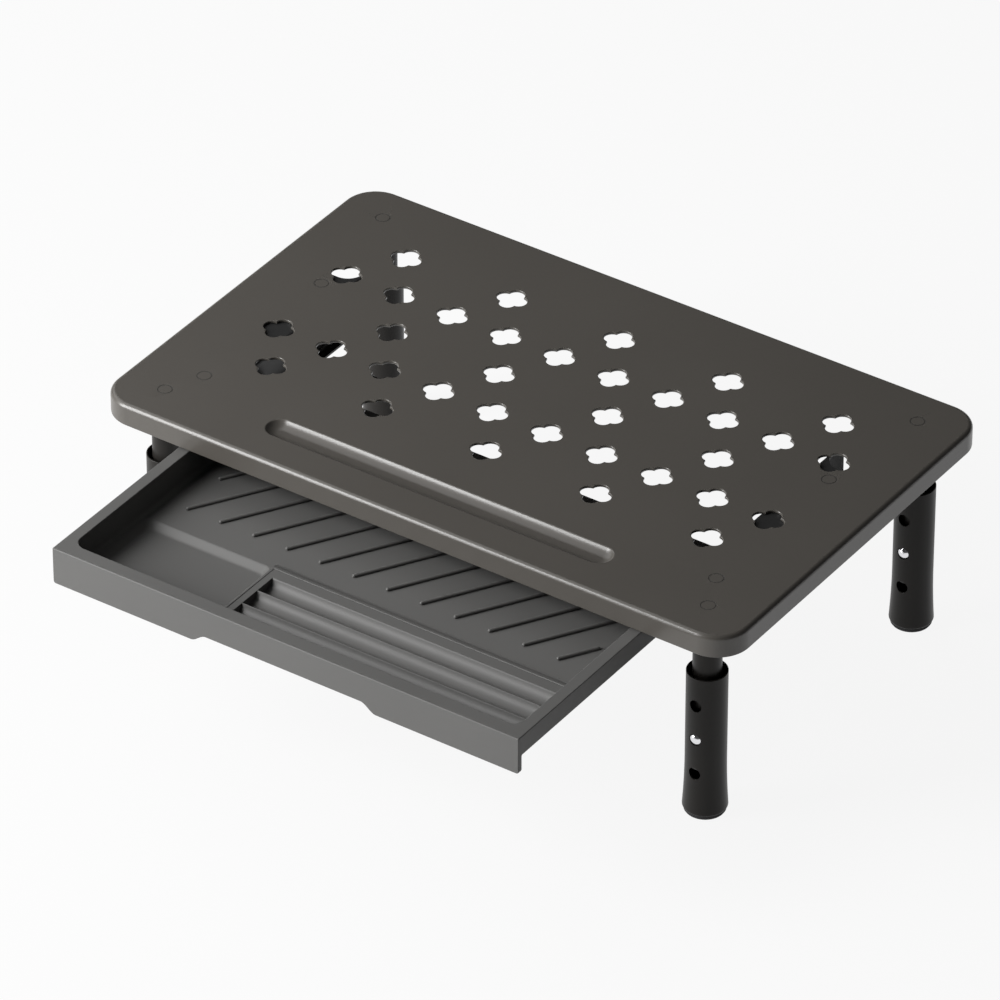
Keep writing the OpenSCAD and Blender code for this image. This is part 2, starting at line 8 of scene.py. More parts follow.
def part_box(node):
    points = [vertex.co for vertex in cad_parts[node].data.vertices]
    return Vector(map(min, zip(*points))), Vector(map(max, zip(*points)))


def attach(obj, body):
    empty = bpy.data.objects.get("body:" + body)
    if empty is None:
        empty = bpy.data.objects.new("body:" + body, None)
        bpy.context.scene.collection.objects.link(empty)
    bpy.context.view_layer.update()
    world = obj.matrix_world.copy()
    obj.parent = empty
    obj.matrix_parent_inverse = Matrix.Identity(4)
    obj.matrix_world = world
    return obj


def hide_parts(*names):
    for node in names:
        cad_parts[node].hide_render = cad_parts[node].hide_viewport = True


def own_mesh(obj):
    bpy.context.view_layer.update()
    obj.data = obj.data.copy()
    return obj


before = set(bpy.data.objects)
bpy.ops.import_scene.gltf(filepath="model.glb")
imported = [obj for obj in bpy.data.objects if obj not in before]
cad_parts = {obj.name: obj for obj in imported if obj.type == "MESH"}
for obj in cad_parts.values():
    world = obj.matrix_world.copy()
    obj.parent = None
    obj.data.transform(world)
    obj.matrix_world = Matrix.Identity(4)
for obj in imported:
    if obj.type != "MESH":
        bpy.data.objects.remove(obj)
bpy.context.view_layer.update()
mm = 0.001  # pieces are modelled in millimetres and scaled at the end


# Places taken from the frame, in millimetres

def nodeBox(node):
    low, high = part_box(node)
    return low / mm, high / mm


plateLow, plateHigh = nodeBox("top_plate")
drawerLow, drawerHigh = nodeBox("drawer_tray")
plateMid = (plateLow + plateHigh) / 2
plateTop = plateHigh.z
legNames = ("fl", "fr", "bl", "br")


def legAxis(leg):
    low, high = nodeBox("leg_tube_" + leg)
    return (low.x + high.x) / 2, (low.y + high.y) / 2


nutFlange = 5.9  # radius of the rail nuts' flanges, which sit round the studs


def railStuds():
    low, high = nodeBox("rail_nuts")
    r = nutFlange
    return [(x, y) for x in (low.x + r, high.x - r) for y in (low.y + r, high.y - r)]


# Outlines

def arc(u, v, r, start, end, steps=6):
    turns = [math.radians(start + (end - start) * i / steps) for i in range(steps + 1)]
    return [(u + r * math.cos(a), v + r * math.sin(a)) for a in turns]


def quarterTurn(steps):
    return [math.pi / 2 * k / steps for k in range(steps + 1)]


def softOutline(corners, steps=5, closed=True):
    # corners are (u, v) or (u, v, radius); the radius rounds that corner
    points = []
    count = len(corners)
    for i, corner in enumerate(corners):
        here = Vector(corner[:2])
        r = corner[2] if len(corner) > 2 else 0
        if r == 0 or (not closed and i in (0, count - 1)):
            points.append(tuple(here))
            continue
        before = (Vector(corners[i - 1][:2]) - here).normalized()
        after = (Vector(corners[(i + 1) % count][:2]) - here).normalized()
        half = before.angle(after) / 2
        centre = here + (before + after).normalized() * (r / math.sin(half))
        reach = r / math.tan(half)
        start = here + before * reach - centre
        end = here + after * reach - centre
        a = math.atan2(start.y, start.x)
        turn = math.atan2(start.cross(end), start.dot(end))
        for k in range(steps + 1):
            t = a + turn * k / steps
            points.append((centre.x + r * math.cos(t), centre.y + r * math.sin(t)))
    return points


def roundedLoop(x0, x1, y0, y1, z, r, steps=8):
    corners = ((x1, y0, -1, 1), (x1, y1, -1, -1), (x0, y1, 1, -1), (x0, y0, 1, 1))
    points = []
    for turn, (x, y, sx, sy) in enumerate(corners):
        for i in range(steps + 1):
            a = math.radians(90 * (turn - 1) + 90 * i / steps)
            points.append((x + sx * r + r * math.cos(a), y + sy * r + r * math.sin(a), z))
    return points


# Meshes

def addLoop(bm, points):
    return [bm.verts.new(p) for p in points]


def bridge(bm, a, b, materialIndex=0):
    for i in range(len(a)):
        j = (i + 1) % len(a)
        face = bm.faces.new((a[i], a[j], b[j], b[i]))
        face.material_index = materialIndex


def bridgeAll(bm, loops, materialIndex=0):
    for a, b in zip(loops, loops[1:]):
        bridge(bm, a, b, materialIndex)


def fillFlat(bm, loops):
    # one flat area with holes
    edges = [bm.edges.get((v, loop[(i + 1) % len(loop)])) for loop in loops for i, v in enumerate(loop)]
    bmesh.ops.triangle_fill(bm, edges=edges, use_beauty=True)


def makeObject(name, bm, materials=()):
    bmesh.ops.recalc_face_normals(bm, faces=bm.faces[:])
    mesh = bpy.data.meshes.new(name)
    bm.to_mesh(mesh)
    bm.free()
    for material in materials:
        mesh.materials.append(material)
    obj = bpy.data.objects.new(name, mesh)
    bpy.context.scene.collection.objects.link(obj)
    return obj


def loft(name, loops):
    # closed solid through loops with the same number of points
    bm = bmesh.new()
    rings = [addLoop(bm, points) for points in loops]
    bridgeAll(bm, rings)
    bm.faces.new(rings[0])
    bm.faces.new(rings[-1])
    return makeObject(name, bm)


def prism(name, outline, low, high, axis):
    # outline drawn across the axis and drawn out from low to high along it
    place = {"x": lambda p, t: (t, p[0], p[1]), "y": lambda p, t: (p[0], t, p[1]),
             "z": lambda p, t: (p[0], p[1], t)}[axis]
    return loft(name, [[place(p, t) for p in outline] for t in (low, high)])


onAxis = 1e-7  # a smaller radius is a point on the axis


def lathe(name, profile, segments=96, axis="z"):
    # closed profile of (radius, height) turned round an axis through the origin
    place = {"z": lambda x, y, t: (x, y, t), "y": lambda x, y, t: (x, t, y)}[axis]
    bm = bmesh.new()
    rings = []
    for r, t in profile:
        if r < onAxis:
            rings.append([bm.verts.new(place(0, 0, t))])
            continue
        angles = [2 * math.pi * i / segments for i in range(segments)]
        rings.append([bm.verts.new(place(r * math.cos(a), r * math.sin(a), t)) for a in angles])
    for a, b in zip(rings, rings[1:] + rings[:1]):
        if len(a) == 1 and len(b) == 1:
            continue
        for i in range(segments):
            j = (i + 1) % segments
            corners = [a[i % len(a)], a[j % len(a)], b[j % len(b)], b[i % len(b)]]
            bm.faces.new(list(dict.fromkeys(corners)))
    return makeObject(name, bm)


def bakeModifiers(obj):
    bpy.context.view_layer.update()
    evaluated = obj.evaluated_get(bpy.context.evaluated_depsgraph_get())
    mesh = bpy.data.meshes.new_from_object(evaluated)
    obj.modifiers.clear()
    obj.data = mesh
    return obj


def combine(obj, operation, *others):
    for other in others:
        modifier = obj.modifiers.new(operation.lower(), "BOOLEAN")
        modifier.operation = operation
        modifier.solver = "EXACT"
        modifier.object = other
        bakeModifiers(obj)
        bpy.data.objects.remove(other)
    return obj


def softenEdges(obj, width, segments=3, angle=40):
    modifier = obj.modifiers.new("softEdges", "BEVEL")
    modifier.limit_method = "ANGLE"
    modifier.angle_limit = math.radians(angle)
    modifier.width = width
    modifier.segments = segments
    modifier.use_clamp_overlap = False
    modifier.miter_outer = "MITER_ARC"
    return bakeModifiers(obj)


def moveMesh(obj, offset):
    obj.data.transform(Matrix.Translation(Vector(offset)))
    return obj


def joinMeshes(name, objects):
    bm = bmesh.new()
    for obj in objects:
        bm.from_mesh(obj.data)
        bpy.data.objects.remove(obj)
    return makeObject(name, bm)


def settle(obj, body, materials, replaced, sharpAngle=38):
    # the last step of every piece: metres, materials, shading, and its place in the frame
    mesh = obj.data
    mesh.transform(Matrix.Scale(mm, 4))
    for material in materials:
        mesh.materials.append(material)
    mesh.polygons.foreach_set("use_smooth", [True] * len(mesh.polygons))
    mesh.set_sharp_from_angle(angle=math.radians(sharpAngle))
    modifier = obj.modifiers.new("weightedNormals", "WEIGHTED_NORMAL")
    modifier.keep_sharp = True
    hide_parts(*replaced)
    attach(obj, body)


# Materials

def newGroup(name, inputs, outputs):
    group = bpy.data.node_groups.new(name, "ShaderNodeTree")
    for label, kind, default in inputs:
        socket = group.interface.new_socket(name=label, in_out="INPUT", socket_type=kind)
        socket.default_value = default
    for label, kind in outputs:
        group.interface.new_socket(name=label, in_out="OUTPUT", socket_type=kind)
    return group, group.nodes.new("NodeGroupInput"), group.nodes.new("NodeGroupOutput")


def addNode(tree, kind, **settings):
    node = tree.nodes.new(kind)
    for key, value in settings.items():
        if key in node.inputs:
            node.inputs[key].default_value = value
        else:
            setattr(node, key, value)
    return node


def surfaceGrainGroup():
    # fine grain of a coat or moulding, with broad soft patches
    group, source, sink = newGroup("surfaceGrain", [
        ("Grain Size", "NodeSocketFloat", 0.4),
        ("Patch Size", "NodeSocketFloat", 60.0),
        ("Colour", "NodeSocketColor", (0.1, 0.1, 0.1, 1)),
        ("Colour Change", "NodeSocketFloat", 0.1),
        ("Roughness", "NodeSocketFloat", 0.5),
        ("Roughness Change", "NodeSocketFloat", 0.05),
    ], [("Colour", "NodeSocketColor"), ("Roughness", "NodeSocketFloat"), ("Height", "NodeSocketFloat")])
    link = group.links.new
    place = addNode(group, "ShaderNodeTexCoord")
    noises = []
    for socket, detail in (("Grain Size", 2.0), ("Patch Size", 3.0)):
        scale = addNode(group, "ShaderNodeMath", operation="DIVIDE")
        scale.inputs[0].default_value = 1 / mm
        link(source.outputs[socket], scale.inputs[1])
        noise = addNode(group, "ShaderNodeTexNoise", Detail=detail)
        link(place.outputs["Object"], noise.inputs["Vector"])
        link(scale.outputs[0], noise.inputs["Scale"])
        noises.append(noise)
    grain, patch = noises
    mixed = addNode(group, "ShaderNodeMath", operation="ADD")
    link(grain.outputs["Fac"], mixed.inputs[0])
    link(patch.outputs["Fac"], mixed.inputs[1])
    centred = addNode(group, "ShaderNodeMath", operation="SUBTRACT")
    centred.inputs[1].default_value = 1.0
    link(mixed.outputs[0], centred.inputs[0])

    colourShare = addNode(group, "ShaderNodeMath", operation="MULTIPLY_ADD")
    colourShare.inputs[2].default_value = 1.0
    link(centred.outputs[0], colourShare.inputs[0])
    link(source.outputs["Colour Change"], colourShare.inputs[1])
    tinted = addNode(group, "ShaderNodeVectorMath", operation="SCALE")
    link(source.outputs["Colour"], tinted.inputs[0])
    link(colourShare.outputs[0], tinted.inputs["Scale"])
    link(tinted.outputs[0], sink.inputs["Colour"])

    rough = addNode(group, "ShaderNodeMath", operation="MULTIPLY_ADD")
    link(centred.outputs[0], rough.inputs[0])
    link(source.outputs["Roughness Change"], rough.inputs[1])
    link(source.outputs["Roughness"], rough.inputs[2])
    link(rough.outputs[0], sink.inputs["Roughness"])
    link(grain.outputs["Fac"], sink.inputs["Height"])
    return group


grainGroup = surfaceGrainGroup()


def grainedMaterial(name, look):
    material = bpy.data.materials.new(name)
    material.use_nodes = True
    tree = material.node_tree
    shader = tree.nodes["Principled BSDF"]
    grain = addNode(tree, "ShaderNodeGroup", node_tree=grainGroup)
    for label in ("Grain Size", "Patch Size", "Colour Change", "Roughness", "Roughness Change"):
        grain.inputs[label].default_value = look[label]
    grain.inputs["Colour"].default_value = (*look["Colour"], 1)
    bump = addNode(tree, "ShaderNodeBump", Strength=look["Bump"], Distance=look["Bump Height"] * mm)
    tree.links.new(grain.outputs["Colour"], shader.inputs["Base Color"])
    tree.links.new(grain.outputs["Roughness"], shader.inputs["Roughness"])
    tree.links.new(grain.outputs["Height"], bump.inputs["Height"])
    tree.links.new(bump.outputs["Normal"], shader.inputs["Normal"])
    for label in ("Metallic", "Specular IOR Level"):
        if label in look:
            shader.inputs[label].default_value = look[label]
    return material


# the plate's black coat is the same as on the legs and rails; its colour is set well above theirs, painted light and
# sheen on the plate
plateLitPaint = grainedMaterial("plateLitPaint", {
    "Colour": (0.075, 0.069, 0.061), "Colour Change": 0.10, "Grain Size": 0.7, "Patch Size": 90,
    "Roughness": 0.31, "Roughness Change": 0.06, "Bump": 0.2, "Bump Height": 0.03,
    "Specular IOR Level": 0.6,
})
# darker copy of the plate's coat for the stud rings: the darker colour is painted shade in their shallow dip
paintedRingShade = grainedMaterial("paintedRingShade", {
    "Colour": (0.040, 0.037, 0.033), "Colour Change": 0.10, "Grain Size": 0.7, "Patch Size": 90,
    "Roughness": 0.42, "Roughness Change": 0.08, "Bump": 0.25, "Bump Height": 0.03,
    "Specular IOR Level": 0.5,
})
legPaint = grainedMaterial("legPaint", {
    "Colour": (0.016, 0.0145, 0.013), "Colour Change": 0.10, "Grain Size": 0.6, "Patch Size": 40,
    "Roughness": 0.38, "Roughness Change": 0.06, "Bump": 0.2, "Bump Height": 0.03,
    "Specular IOR Level": 0.2,
})
railPaint = grainedMaterial("railPaint", {
    "Colour": (0.016, 0.016, 0.016), "Colour Change": 0.12, "Grain Size": 0.5, "Patch Size": 30,
    "Roughness": 0.42, "Roughness Change": 0.08, "Bump": 0.2, "Bump Height": 0.03,
    "Specular IOR Level": 0.3,
})
drawerPlastic = grainedMaterial("drawerPlastic", {
    "Colour": (0.100, 0.099, 0.096), "Colour Change": 0.12, "Grain Size": 0.5, "Patch Size": 50,
    "Roughness": 0.52, "Roughness Change": 0.08, "Bump": 0.3, "Bump Height": 0.04,
    "Specular IOR Level": 0.45,
})
blackPlastic = grainedMaterial("blackPlastic", {
    "Colour": (0.02, 0.02, 0.02), "Colour Change": 0.15, "Grain Size": 0.4, "Patch Size": 20,
    "Roughness": 0.5, "Roughness Change": 0.08, "Bump": 0.2, "Bump Height": 0.03,
})
footRubber = grainedMaterial("footRubber", {
    "Colour": (0.02, 0.02, 0.021), "Colour Change": 0.2, "Grain Size": 0.3, "Patch Size": 12,
    "Roughness": 0.75, "Roughness Change": 0.08, "Bump": 0.4, "Bump Height": 0.05,
})
zincSteel = grainedMaterial("zincSteel", {
    "Colour": (0.55, 0.55, 0.53), "Colour Change": 0.15, "Grain Size": 0.25, "Patch Size": 8,
    "Roughness": 0.35, "Roughness Change": 0.12, "Bump": 0.1, "Bump Height": 0.02, "Metallic": 1.0,
})
springSteel = grainedMaterial("springSteel", {
    "Colour": (0.8, 0.8, 0.82), "Colour Change": 0.08, "Grain Size": 0.3, "Patch Size": 8,
    "Roughness": 0.18, "Roughness Change": 0.06, "Bump": 0.05, "Bump Height": 0.01, "Metallic": 1.0,
})
print("materials made")


# Top plate: pressed sheet with a rolled edge, a lattice of vents and a pen groove

plate = {
    "cornerRadius": 18, "edgeRadius": 2.5, "sheet": 1.5, "rimRounding": 0.4,
    "ventLobe": 4.3, "ventOffset": 4.0, "ventEdge": 0.45,
    "ventSide": 40.6, "ventBack": 46, "ventFront": 40.8, "ventColumns": 9,
    "ventRows": ((2, 8, 4), (1, 9, 2), (0, 6, 4), (-1, 9, 2), (-2, 8, 4)),
    "grooveLength": 201.5, "grooveWidth": 14.5, "grooveDepth": 3, "grooveFoot": 6.9, "grooveWall": 50,
    "grooveShoulder": 1.0, "grooveUnderShoulder": 0.4, "grooveInset": 27.2,
    "markRadius": 3.6, "markWidth": 0.8, "markDepth": 0.12,
}


def quatrefoil(centre, z, lobe, offset, steps=10):
    cusp = (2 * offset + math.sqrt(8 * lobe ** 2 - 4 * offset ** 2)) / 4
    half = math.atan2(cusp, cusp - offset)
    points = []
    for turn in range(4):
        for i in range(steps):
            a = -half + 2 * half * i / steps
            x, y = offset + lobe * math.cos(a), lobe * math.sin(a)
            c, s = round(math.cos(turn * math.pi / 2)), round(math.sin(turn * math.pi / 2))
            points.append((centre[0] + c * x - s * y, centre[1] + s * x + c * y, z))
    return points


def ventCentres():
    p = plate
    pitchX = (plateHigh.x - plateMid.x - p["ventSide"]) / p["ventColumns"]
    first = plateLow.y + p["grooveInset"] + p["ventFront"]
    last = plateHigh.y - p["ventBack"]
    for row, outer, step in p["ventRows"]:
        y = (first + last) / 2 + row * (last - first) / 4
        for i in range(-outer, outer + 1, step):
            yield plateMid.x + i * pitchX, y


def addPlateEdge(bm):
    # rolled edge and skirt, from the sheet's inside round its lower rim and up to the top
    p = plate
    t, e, r = p["sheet"], p["rimRounding"], p["edgeRadius"]
    low = plateLow.z
    profile = arc(r, plateTop - r, r - t, 90, 180, 5)
    profile += arc(t - e, low + e, e, 0, -90, 4)
    profile += arc(e, low + e, e, -90, -180, 4)
    profile += arc(r, plateTop - r, r, 180, 90, 10)
    loops = [addLoop(bm, roundedLoop(plateLow.x + u, plateHigh.x - u, plateLow.y + u, plateHigh.y - u, z,
                                     p["cornerRadius"] - u, 16)) for u, z in profile]
    bridgeAll(bm, loops)
    return loops[-1], loops[0]


def addVent(bm, centre):
    # a vent's wall, with its upper and lower edges rounded
    p = plate
    e = p["ventEdge"]
    profile = [(e - e * math.sin(math.radians(a)), plateTop - e + e * math.cos(math.radians(a)))
               for a in (0, 22.5, 45, 67.5, 90)]
    profile += [(e - e * math.cos(math.radians(a)), plateTop - p["sheet"] + e - e * math.sin(math.radians(a)))
                for a in (0, 30, 60, 90)]
    loops = [addLoop(bm, quatrefoil(centre, z, p["ventLobe"] + grow, p["ventOffset"])) for grow, z in profile]
    bridgeAll(bm, loops)
    return loops[0], loops[-1]


def stadium(half, reach, centre, z, steps=16):
    points = []
    for side, start in ((1, -90), (-1, 90)):
        for i in range(steps + 1):
            a = math.radians(start + 180 * i / steps)
            points.append((centre[0] + side * reach + half * math.cos(a), centre[1] + half * math.sin(a), z))
    return points


def addGroove(bm):
    # the trough's upper skin and its under skin, one sheet apart
    p = plate
    wall = math.radians(p["grooveWall"])
    r, depth, t = p["grooveFoot"], p["grooveDepth"], p["sheet"]
    half = p["grooveWidth"] / 2
    reach = p["grooveLength"] / 2 - half
    centre = (plateMid.x, plateLow.y + p["grooveInset"])
    footZ = r * (1 - math.cos(wall)) - depth
    floorU = half + footZ / math.tan(wall) - r * math.sin(wall)
    lean = 90 - p["grooveWall"]
    ends = []
    for grow, shoulder, z in ((0, p["grooveShoulder"], plateTop), (t, p["grooveUnderShoulder"], plateTop - t)):
        edge = half + grow / math.sin(wall) - grow / math.tan(wall)
        profile = arc(edge + shoulder * math.tan(wall / 2), z - shoulder, shoulder, 90, 180 - lean, 5)
        profile += arc(floorU, plateTop - depth + r, r + grow, -lean, -90, 9)
        loops = [addLoop(bm, stadium(u, reach, centre, v)) for u, v in profile]
        bridgeAll(bm, loops)
        bm.faces.new(loops[-1])
        ends.append(loops[0])
    return ends


def addMark(bm, x, y):
    # faint ring that a welded stud leaves in the top, a shallow dip; its faces take the darker ring material, which is
    # painted shade in the dip
    r, w, d = plate["markRadius"], plate["markWidth"] / 2, plate["markDepth"]
    turns = [2 * math.pi * k / 48 for k in range(48)]
    loops = [addLoop(bm, [(x + q * math.cos(a), y + q * math.sin(a), z) for a in turns])
             for q, z in ((r + w, plateTop), (r + w / 2, plateTop - d), (r - w / 2, plateTop - d), (r - w, plateTop))]
    bridgeAll(bm, loops, 1)
    bm.faces.new(loops[-1])
    return loops[0]


def buildTopPlate():
    bm = bmesh.new()
    upper, lower = [], []
    for top, under in [addPlateEdge(bm), addGroove(bm)] + [addVent(bm, c) for c in ventCentres()]:
        upper.append(top)
        lower.append(under)
    for x, y in [legAxis(leg) for leg in legNames] + railStuds():
        upper.append(addMark(bm, x, y))
    fillFlat(bm, upper)
    fillFlat(bm, lower)
    obj = makeObject("topPlate", bm, (plateLitPaint, paintedRingShade))
    settle(obj, "stand", (), ["top_plate"])


buildTopPlate()
print("top plate made")


# Drawer: one moulded tray, in its own place with the front face at y = 0 and the rim's top at z = 0

drawer = {
    "width": 271, "length": 181, "panelHeight": 20.5, "panelThickness": 3, "panelCorner": 1.5,
    "rimSide": 6.4, "rimFront": 8.3, "rimBack": 6.4, "wall": 1.8, "lipHeight": 11, "openingRadius": 6.5,
    "edge": 0.45, "draft": 0.08, "footRadius": 3,
    "floorDepth": 14.7, "basinDepth": 17.7, "ledgeDepth": 13.2,
    "basinCorner": 4, "basinSlope": 4, "basinFoot": 2.5, "basinInset": 3.05,
    "basinStep": 4.2, "stepCrest": 2.5, "stepFoot": 3.0,
    "penWidth": 12, "penDepth": 4.6, "penCrest": 0.4, "penCount": 3, "penEndInset": 3,
    "ledgeWidth": 8.3, "ledgeBack": 62.9, "ledgeRun": 3.1, "ledgeSwell": 7.2,
    "dividerX": -45, "dividerWidth": 5.5, "flankSteepness": 3, "flankRounding": 1.6, "flankFoot": 1.2,
    "crestRadius": 0.3, "shoulderRadius": 0.8,
    "beadRadius": 0.32, "beadInset": 1.4, "beadEnd": 2.5,
    "ribLead": 24.8, "ribPitch": 19.77, "ribSlant": 31.5, "ribRadius": 1.0, "ribRaise": 0.6,
    "ribFront": 79.3, "ribBack": 164.6, "ribSide": 14.1,
    "notchWidth": 90, "notchHeight": 4.6, "notchRun": 9, "notchSteps": 14,
    "bumpInset": 11.8, "bumpLength": 4, "bumpWidth": 3, "bumpHeight": 1.3,
}
hair = 0.02  # overlap of two solids whose faces would else meet
halfWidth = drawer["width"] / 2
openX = halfWidth - drawer["rimSide"]
openBack = drawer["length"] - drawer["rimBack"]


def panelOutline():
    # front panel, with the finger notch's soft ends in its lower edge
    d = drawer
    h, c = -d["panelHeight"], d["panelCorner"]
    side = [(-halfWidth, 0), (-halfWidth, h, c)]
    notch = []
    for i in range(d["notchSteps"] + 1):
        t = i / d["notchSteps"]
        notch.append((-d["notchWidth"] / 2 - d["notchRun"] * (1 - t),
                      h + d["notchHeight"] * (1 - math.cos(math.pi * t)) / 2))
    left = softOutline(side + notch[:1], 5, closed=False)[:-1] + notch
    return left + [(-x, z) for x, z in reversed(left)]


def drawerFrame():
    # rim, hanging side lips, front panel and stop bumps, with softened edges
    d = drawer
    r, wall, inside = d["openingRadius"], d["wall"], d["panelThickness"] / 2
    back = d["length"]
    outline = softOutline([(-halfWidth, inside), (halfWidth, inside), (halfWidth, back, r), (-halfWidth, back, r)], 8)
    rim = prism("drawerTray", outline, -wall, 0, "z")
    panel = prism("panel", panelOutline(), 0, d["panelThickness"], "y")
    parts = [panel]
    for s in (-1, 1):
        x = s * (halfWidth - wall / 2)
        lip = [(x - wall / 2, -d["lipHeight"]), (x + wall / 2, -d["lipHeight"]),
               (x + wall / 2, -wall / 2), (x - wall / 2, -wall / 2)]
        parts.append(prism("lip", lip, inside, back - r, "y"))
        x = s * (halfWidth - wall - d["bumpWidth"] / 2)
        low = back - d["bumpInset"]
        bump = [(x - d["bumpWidth"] / 2, low), (x + d["bumpWidth"] / 2, low),
                (x + d["bumpWidth"] / 2, low + d["bumpLength"]), (x - d["bumpWidth"] / 2, low + d["bumpLength"])]
        parts.append(prism("bump", bump, -wall / 2, d["bumpHeight"], "z"))
    combine(rim, "UNION", *parts)
    return softenEdges(rim, d["edge"])


def openingLoop(inset, z, leastRadius=1.5):
    d = drawer
    return roundedLoop(-openX + inset, openX - inset, d["rimFront"] + inset, openBack - inset, z,
                       max(d["openingRadius"] - inset, leastRadius), 8)


def panProfile(depth, footRadius, steps):
    # drafted wall and rounded foot as (inset, z)
    draft = drawer["draft"]
    tilt = math.atan(draft)
    centre = draft * (depth - footRadius) + footRadius * math.sqrt(1 + draft ** 2)
    turns = [-tilt + (tilt - math.pi / 2) * i / steps for i in range(steps + 1)]
    return [(centre - footRadius * math.cos(a), footRadius - depth + footRadius * math.sin(a)) for a in turns]


def outerPan():
    d = drawer
    wall = d["wall"]
    profile = [(0, -wall / 2)] + panProfile(d["floorDepth"] + wall, d["footRadius"] + wall, 8)
    return loft("outerPan", [openingLoop(inset - wall, z) for inset, z in profile])


def innerPan():
    d = drawer
    e = d["edge"]
    lead = math.radians(80)  # the rounding of the rim's edge stops just short of level
    clear, low, high = 1.18, 0.2, 1.5  # how far the cutter stands out above the rim
    out = -e * (1 - math.cos(lead)) - clear
    profile = [(out, high), (out, low)]
    profile += [(-e * (1 - math.cos(a)), -e + e * math.sin(a)) for a in (lead, lead * 0.75, lead * 0.5, lead * 0.25, 0)]
    profile += panProfile(d["floorDepth"], d["footRadius"], 9)
    return loft("innerPan", [openingLoop(inset, z) for inset, z in profile])


def insetAt(outline, z):
    # how far a side has moved in at height z, going down its outline
    for (u0, v0), (u1, v1) in zip(outline, outline[1:]):
        if v1 <= z <= v0 and v0 > v1:
            return u0 + (u1 - u0) * (v0 - z) / (v0 - v1)
    return outline[-1][0]


def basinLoops(grow):
    # the basin from its top down, each side with its own slope; grow thickens it into a skin
    d = drawer
    floor, bottom = -d["floorDepth"], -d["basinDepth"] - grow
    flank = -d["dividerX"] + d["dividerWidth"]
    slope = (d["basinDepth"] - d["floorDepth"]) / d["flankSteepness"]
    top, far = floor + 0.8, 30  # the cutter starts above the floor and runs past the basin's middle
    nearLip, nearRise, backLip, backRise = 0.75, 0.45, 1.2, 0.1  # its upper part, past the basin's edge
    near = softOutline([(-nearLip, top), (-nearLip, floor + nearRise), (0, floor),
                        (d["basinSlope"], bottom, d["basinFoot"]), (far, bottom)], 6, False)
    back = softOutline([(-backLip, top), (-backLip, floor + backRise), (0, floor, d["stepCrest"]),
                        (d["basinStep"], bottom, d["stepFoot"]), (far, bottom)], 6, False)
    side = softOutline([(0, top), (0, floor), (slope, bottom, d["flankFoot"]), (far, bottom)], 6, False)
    leastStep = 0.015  # levels closer than this are taken as one
    levels = sorted({v for outline in (near, back, side) for u, v in outline}, reverse=True)
    levels = [z for i, z in enumerate(levels) if i == 0 or levels[i - 1] - z > leastStep]
    levels[-1] = bottom
    left, front = -openX + d["basinInset"] - grow, d["rimFront"] + d["basinInset"] - grow
    right = -flank - (d["floorDepth"] - d["ledgeDepth"]) / d["flankSteepness"] - hair
    for z in levels:
        near1 = insetAt(near, z)
        yield roundedLoop(left + near1, right - insetAt(side, z) + grow, front + near1,
                          d["ledgeBack"] + grow - insetAt(back, z), z, d["basinCorner"], 8)


def penProfile():
    # radius and height of the grooves' arcs, and their middles along y
    d = drawer
    r = ((d["penWidth"] / 2) ** 2 + d["penDepth"] ** 2) / (2 * d["penDepth"])
    z = r - d["ledgeDepth"] - d["penDepth"]
    last = d["ledgeBack"] - d["ledgeWidth"] - d["penWidth"] / 2
    step = d["penWidth"] + d["penCrest"]
    return r, z, [last - i * step for i in reversed(range(d["penCount"]))]


def penVoid():
    # the grooves side by side, with rounded crests and shoulders
    d = drawer
    r, z, middles = penProfile()
    crest, shoulder, ledge = d["crestRadius"], d["shoulderRadius"], -d["ledgeDepth"]
    halfStep = (middles[1] - middles[0]) / 2
    crestZ = z - math.sqrt((r + crest) ** 2 - halfStep ** 2)
    crestTurn = math.degrees(math.atan2(z - crestZ, halfStep))
    shoulderZ = ledge - shoulder
    shoulderU = math.sqrt((r + shoulder) ** 2 - (shoulderZ - z) ** 2)
    shoulderTurn = math.degrees(math.atan2(z - shoulderZ, shoulderU))
    top, rise, out = ledge + 1.0, ledge + 0.1, 0.9  # the cutter above the ledge
    lead = 82  # the shoulders stop just short of level
    front, back = middles[0] - shoulderU, middles[-1] + shoulderU
    outline = [(front - out, top), (front - out, rise)] + arc(front, shoulderZ, shoulder, lead, shoulderTurn, 6)
    for i, middle in enumerate(middles):
        start = shoulderTurn if i == 0 else crestTurn
        end = shoulderTurn if i == len(middles) - 1 else crestTurn
        outline += arc(middle, z, r, -180 + start, -end, 18)[1:-1]
        if i < len(middles) - 1:
            outline += arc(middle + halfStep, crestZ, crest, 180 - crestTurn, crestTurn, 6)
    outline += arc(back, shoulderZ, shoulder, 180 - shoulderTurn, 180 - lead, 6)
    outline += [(back + out, rise), (back + out, top)]
    return prism("penVoid", outline, d["dividerX"], openX - d["penEndInset"], "x")


def penSkin():
    # underside of the grooves, with its top a little below the ledge
    d = drawer
    wall = d["wall"]
    r, z, middles = penProfile()
    halfStep = (middles[1] - middles[0]) / 2
    cut = math.degrees(math.acos(halfStep / (r + wall)))
    sunk = 0.6
    top = -d["ledgeDepth"] - sunk
    end = math.degrees(math.asin((z - top) / (r + wall)))
    outline = []
    for i, middle in enumerate(middles):
        start = end if i == 0 else cut
        stop = end if i == len(middles) - 1 else cut
        points = arc(middle, z, r + wall, -180 + start, -stop, 16)
        outline += points if i == 0 else points[1:]
    return prism("penSkin", outline, d["dividerX"] - wall, openX - d["penEndInset"] + wall, "x")


